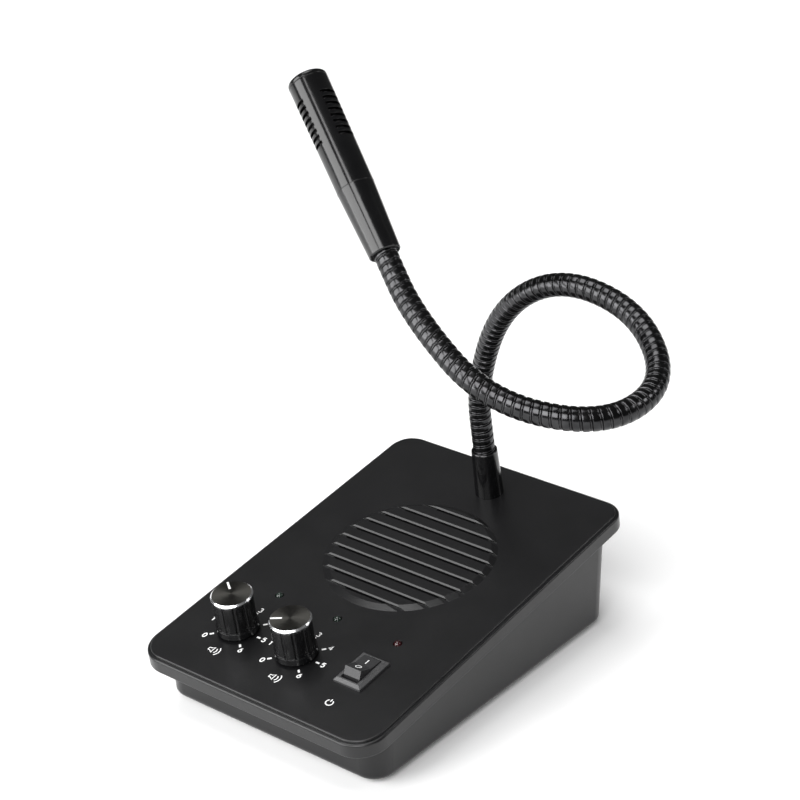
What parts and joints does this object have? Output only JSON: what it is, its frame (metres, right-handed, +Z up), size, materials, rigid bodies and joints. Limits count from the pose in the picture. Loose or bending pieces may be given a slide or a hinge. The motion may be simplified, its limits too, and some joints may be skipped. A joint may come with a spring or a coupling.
{
  "type": "teller window intercom",
  "caption": "Desk intercom for a teller window: a sloping case with a round loudspeaker grille, volume knobs, lamps and a rocker switch, and a gooseneck microphone.",
  "frame": {"origin": "on the table under the middle of the lid, in the plane of the feet", "axes": "+X to the user's right, +Y to the back, +Z up; the user sits on the -Y side"},
  "size_m": [0.1536, 0.1535, 0.2155],
  "materials": {
    "case_black": "satin",
    "foot_rubber": "matte",
    "zinc_screw": "satin",
    "grille_cloth": "matte",
    "zinc_steel": "satin",
    "cone_paper": "matte",
    "copper_coil": "satin",
    "ferrite": "matte",
    "pot_can": "satin",
    "pot_shaft": "satin",
    "plated_nut": "satin",
    "knob_black": "satin",
    "knob_cap": "satin",
    "lamp_clear": "gloss",
    "lamp_red": "gloss",
    "switch_black": "satin",
    "terminal_brass": "satin",
    "board_green": "satin",
    "chip_black": "matte",
    "capacitor_sleeve": "gloss",
    "socket_black": "satin",
    "boot_black": "gloss",
    "neck_black": "gloss",
    "microphone_black": "gloss",
    "screen_steel": "satin",
    "capsule_aluminium": "satin",
    "wire_red": "satin",
    "ribbon_grey": "satin",
    "lead_black": "matte"
  },
  "bodies": {
    "case": {"amplifier_board": "board_green", "amplifier_board_screws": "zinc_screw", "amplifier_chip": "chip_black", "capacitors": "capacitor_sleeve", "case_screws": "zinc_screw", "control_board": "board_green", "control_board_screws": "zinc_screw", "grille_cloth": "grille_cloth", "hookup_wires": "wire_red", "inner_lamp": "lamp_clear", "inner_volume_nut": "plated_nut", "inner_volume_pot": "pot_can", "lower_case": "case_black", "microphone_lead": "lead_black", "neck_boot": "boot_black", "neck_nut": "plated_nut", "neck_root": "neck_black", "neck_socket": "plated_nut", "outer_lamp": "lamp_clear", "outer_volume_nut": "plated_nut", "outer_volume_pot": "pot_can", "outside_unit_socket": "socket_black", "power_inlet": "socket_black", "power_lamp": "lamp_red", "ribbon_cable": "ribbon_grey", "rocker_bezel": "switch_black", "rubber_feet": "foot_rubber", "speaker_cone": "cone_paper", "speaker_dust_cap": "cone_paper", "speaker_frame": "zinc_steel", "speaker_magnet": "ferrite", "speaker_screws": "zinc_screw", "speaker_top_plate": "zinc_steel", "speaker_voice_coil": "copper_coil", "speaker_yoke": "zinc_steel", "switch_terminals": "terminal_brass", "top_cover": "case_black"},
    "inner_volume": {"inner_volume_shaft": "pot_shaft", "inner_volume_knob": "knob_black", "inner_volume_cap": "knob_cap"},
    "outer_volume": {"outer_volume_shaft": "pot_shaft", "outer_volume_knob": "knob_black", "outer_volume_cap": "knob_cap"},
    "rocker": {"rocker_button": "switch_black"},
    "neck_1": {"neck_link_1": "neck_black"},
    "neck_2": {"neck_link_2": "neck_black"},
    "neck_3": {"neck_link_3": "neck_black"},
    "neck_4": {"neck_link_4": "neck_black"},
    "neck_5": {"neck_link_5": "neck_black"},
    "neck_6": {"neck_link_6": "neck_black"},
    "neck_7": {"neck_link_7": "neck_black"},
    "neck_8": {"neck_link_8": "neck_black"},
    "microphone": {"neck_tip": "neck_black", "microphone_adapter": "microphone_black", "microphone_tube": "microphone_black", "microphone_cap": "microphone_black", "microphone_screen": "screen_steel", "microphone_capsule": "capsule_aluminium"}
  },
  "joints": [
    {"name": "inner_volume_turn", "type": "hinge", "parent": "case", "child": "inner_volume", "pos_m": [-0.0272, -0.04955, 0.02763], "axis": [0, -0.1478, 0.989], "range_deg": [-185, 85]},
    {"name": "outer_volume_turn", "type": "hinge", "parent": "case", "child": "outer_volume", "pos_m": [0, -0.04955, 0.02763], "axis": [0, -0.1478, 0.989], "range_deg": [-257, 13]},
    {"name": "rocker_tip", "type": "hinge", "parent": "case", "child": "rocker", "pos_m": [0.0264, -0.04591, 0.02696], "axis": [1, 0, 0], "range_deg": [0, 30]},
    {"name": "neck_bend_1", "type": "hinge", "parent": "case", "child": "neck_1", "pos_m": [0.0014, 0.05472, 0.07688], "axis": [0.1509, 0.9777, 0.1461], "range_deg": [-25, 25]},
    {"name": "neck_bend_2", "type": "hinge", "parent": "neck_1", "child": "neck_2", "pos_m": [0.0102, 0.04837, 0.11028], "axis": [-0.9125, -0.1646, 0.3746], "range_deg": [-25, 25]},
    {"name": "neck_bend_3", "type": "hinge", "parent": "neck_2", "child": "neck_3", "pos_m": [0.0319, 0.04448, 0.13843], "axis": [-0.1354, 0.9782, 0.1577], "range_deg": [-25, 25]},
    {"name": "neck_bend_4", "type": "hinge", "parent": "neck_3", "child": "neck_4", "pos_m": [0.06, 0.04584, 0.14383], "axis": [0.1455, 0.516, 0.8441], "range_deg": [-25, 25]},
    {"name": "neck_bend_5", "type": "hinge", "parent": "neck_4", "child": "neck_5", "pos_m": [0.0866, 0.03778, 0.13388], "axis": [-0.3424, 0.2463, -0.9067], "range_deg": [-25, 25]},
    {"name": "neck_bend_6", "type": "hinge", "parent": "neck_5", "child": "neck_6", "pos_m": [0.09635, 0.01243, 0.12573], "axis": [0.9476, -0.0689, -0.3119], "range_deg": [-25, 25]},
    {"name": "neck_bend_7", "type": "hinge", "parent": "neck_6", "child": "neck_7", "pos_m": [0.0771, -0.01116, 0.12668], "axis": [-0.2534, 0.319, -0.9132], "range_deg": [-25, 25]},
    {"name": "neck_bend_8", "type": "hinge", "parent": "neck_7", "child": "neck_8", "pos_m": [0.0431, -0.01602, 0.13893], "axis": [-0.4281, -0.7306, -0.532], "range_deg": [-25, 25]},
    {"name": "neck_bend_9", "type": "hinge", "parent": "neck_8", "child": "microphone", "pos_m": [0.01855, -0.01042, 0.15668], "axis": [-0.2153, 0.8056, -0.5519], "range_deg": [-25, 25]}
  ]
}
